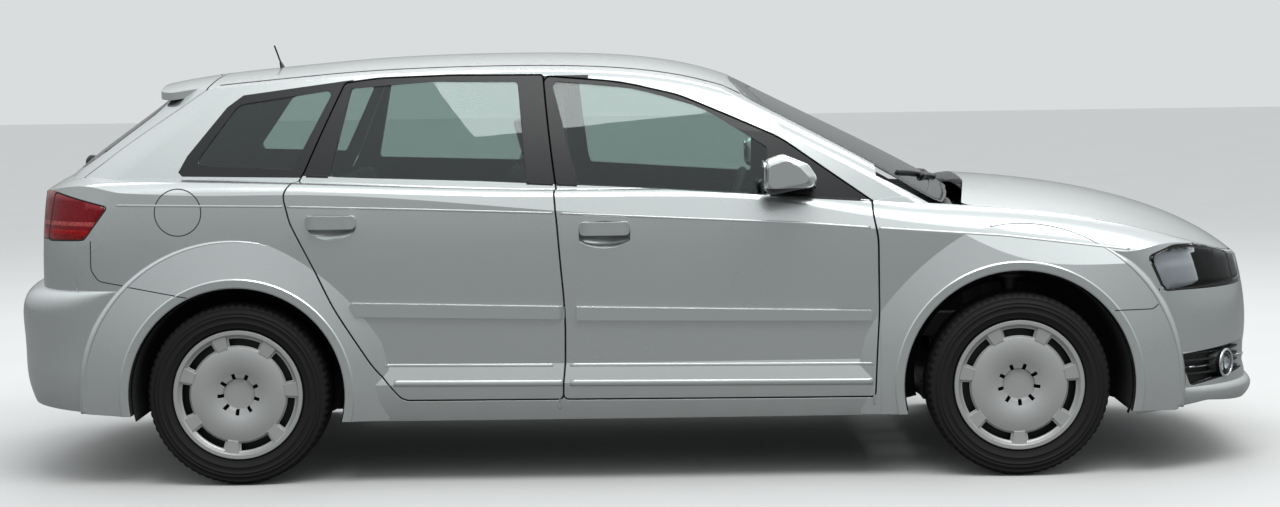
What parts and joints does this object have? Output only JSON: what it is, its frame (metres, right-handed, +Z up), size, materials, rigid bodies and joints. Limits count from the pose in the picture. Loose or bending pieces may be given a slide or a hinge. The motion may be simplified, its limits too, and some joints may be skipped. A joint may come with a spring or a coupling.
{
  "type": "hatchback car",
  "caption": "Five-door hatchback car on road wheels, with opening doors, hood and tailgate, steered front wheels and a hollow glazed cabin.",
  "frame": {"origin": "middle of the car's length and width, on the ground", "axes": "+X towards the nose, +Y to the car's left, +Z up"},
  "size_m": [4.294, 2, 1.4526],
  "materials": {
    "paint": "metallic silver",
    "underbody": "black seal coat",
    "black_plastic": "grained",
    "lamp": "clear",
    "tail_lamp": "red lens",
    "glass": "tinted",
    "steel": "dark",
    "iron": "cast",
    "cabin_plastic": "grained",
    "seat_cloth": "woven",
    "tyre": "black",
    "wheel_cover": "silver"
  },
  "bodies": {
    "chassis": {"roof_panel": "paint", "side_frame_left": "paint", "side_frame_right": "paint", "floor_pan": "underbody", "cowl": "black_plastic", "front_fenders": "paint", "front_bumper": "paint", "rear_bumper": "paint", "front_grille": "black_plastic", "fog_lamps": "lamp", "headlamps": "lamp", "tail_lamps": "tail_lamp", "windscreen": "glass", "quarter_glass": "glass", "arch_liners": "black_plastic", "front_subframe": "steel", "front_struts": "steel", "rear_axle": "steel", "engine_block": "iron", "exhaust": "steel", "steering_wheel": "cabin_plastic", "dashboard": "cabin_plastic", "front_seats": "seat_cloth", "rear_bench": "seat_cloth", "antenna": "black_plastic"},
    "hood": {"hood": "paint"},
    "tailgate": {"tailgate": "paint", "tailgate_glass": "glass"},
    "door_front_left": {"door_front_left": "paint", "glass_front_left": "glass", "mirror_left": "paint"},
    "door_rear_left": {"door_rear_left": "paint", "glass_rear_left": "glass"},
    "knuckle_left": {"knuckle_left": "iron"},
    "door_front_right": {"door_front_right": "paint", "glass_front_right": "glass", "mirror_right": "paint"},
    "door_rear_right": {"door_rear_right": "paint", "glass_rear_right": "glass"},
    "knuckle_right": {"knuckle_right": "iron"},
    "wheel_front_left": {"tyre_front_left": "tyre", "rim_front_left": "steel", "cover_front_left": "wheel_cover"},
    "wheel_front_right": {"tyre_front_right": "tyre", "rim_front_right": "steel", "cover_front_right": "wheel_cover"},
    "wheel_rear_left": {"tyre_rear_left": "tyre", "rim_rear_left": "steel", "cover_rear_left": "wheel_cover"},
    "wheel_rear_right": {"tyre_rear_right": "tyre", "rim_rear_right": "steel", "cover_rear_right": "wheel_cover"}
  },
  "joints": [
    {"name": "door_front_left_swing", "type": "hinge", "parent": "chassis", "child": "door_front_left", "pos_m": [0.786, 0.861, 0.6], "axis": [0, 0, -1], "range_deg": [0, 66]},
    {"name": "door_rear_left_swing", "type": "hinge", "parent": "chassis", "child": "door_rear_left", "pos_m": [-0.25, 0.864, 0.6], "axis": [0, 0, -1], "range_deg": [0, 68]},
    {"name": "door_front_right_swing", "type": "hinge", "parent": "chassis", "child": "door_front_right", "pos_m": [0.786, -0.861, 0.6], "axis": [0, 0, 1], "range_deg": [0, 66]},
    {"name": "door_rear_right_swing", "type": "hinge", "parent": "chassis", "child": "door_rear_right", "pos_m": [-0.25, -0.864, 0.6], "axis": [0, 0, 1], "range_deg": [0, 68]},
    {"name": "hood_lift", "type": "hinge", "parent": "chassis", "child": "hood", "pos_m": [1.112, 0, 0.874], "axis": [0, -1, 0], "range_deg": [0, 50]},
    {"name": "tailgate_lift", "type": "hinge", "parent": "chassis", "child": "tailgate", "pos_m": [-1.448, 0, 1.35], "axis": [0, 1, 0], "range_deg": [0, 82]},
    {"name": "steer_left", "type": "hinge", "parent": "chassis", "child": "knuckle_left", "pos_m": [1.264, 0.705, 0.302], "axis": [0, 0, 1], "range_deg": [-34, 34]},
    {"name": "steer_right", "type": "hinge", "parent": "chassis", "child": "knuckle_right", "pos_m": [1.264, -0.705, 0.302], "axis": [0, 0, 1], "range_deg": [-34, 34]},
    {"name": "spin_front_left", "type": "hinge", "parent": "knuckle_left", "child": "wheel_front_left", "pos_m": [1.264, 0.767, 0.302], "axis": [0, 1, 0], "continuous": true},
    {"name": "spin_front_right", "type": "hinge", "parent": "knuckle_right", "child": "wheel_front_right", "pos_m": [1.264, -0.767, 0.302], "axis": [0, 1, 0], "continuous": true},
    {"name": "spin_rear_left", "type": "hinge", "parent": "chassis", "child": "wheel_rear_left", "pos_m": [-1.314, 0.7535, 0.302], "axis": [0, 1, 0], "continuous": true},
    {"name": "spin_rear_right", "type": "hinge", "parent": "chassis", "child": "wheel_rear_right", "pos_m": [-1.314, -0.7535, 0.302], "axis": [0, 1, 0], "continuous": true}
  ],
  "couplings": [
    {"joint": "steer_right", "follows": "steer_left", "ratio": 1}
  ]
}
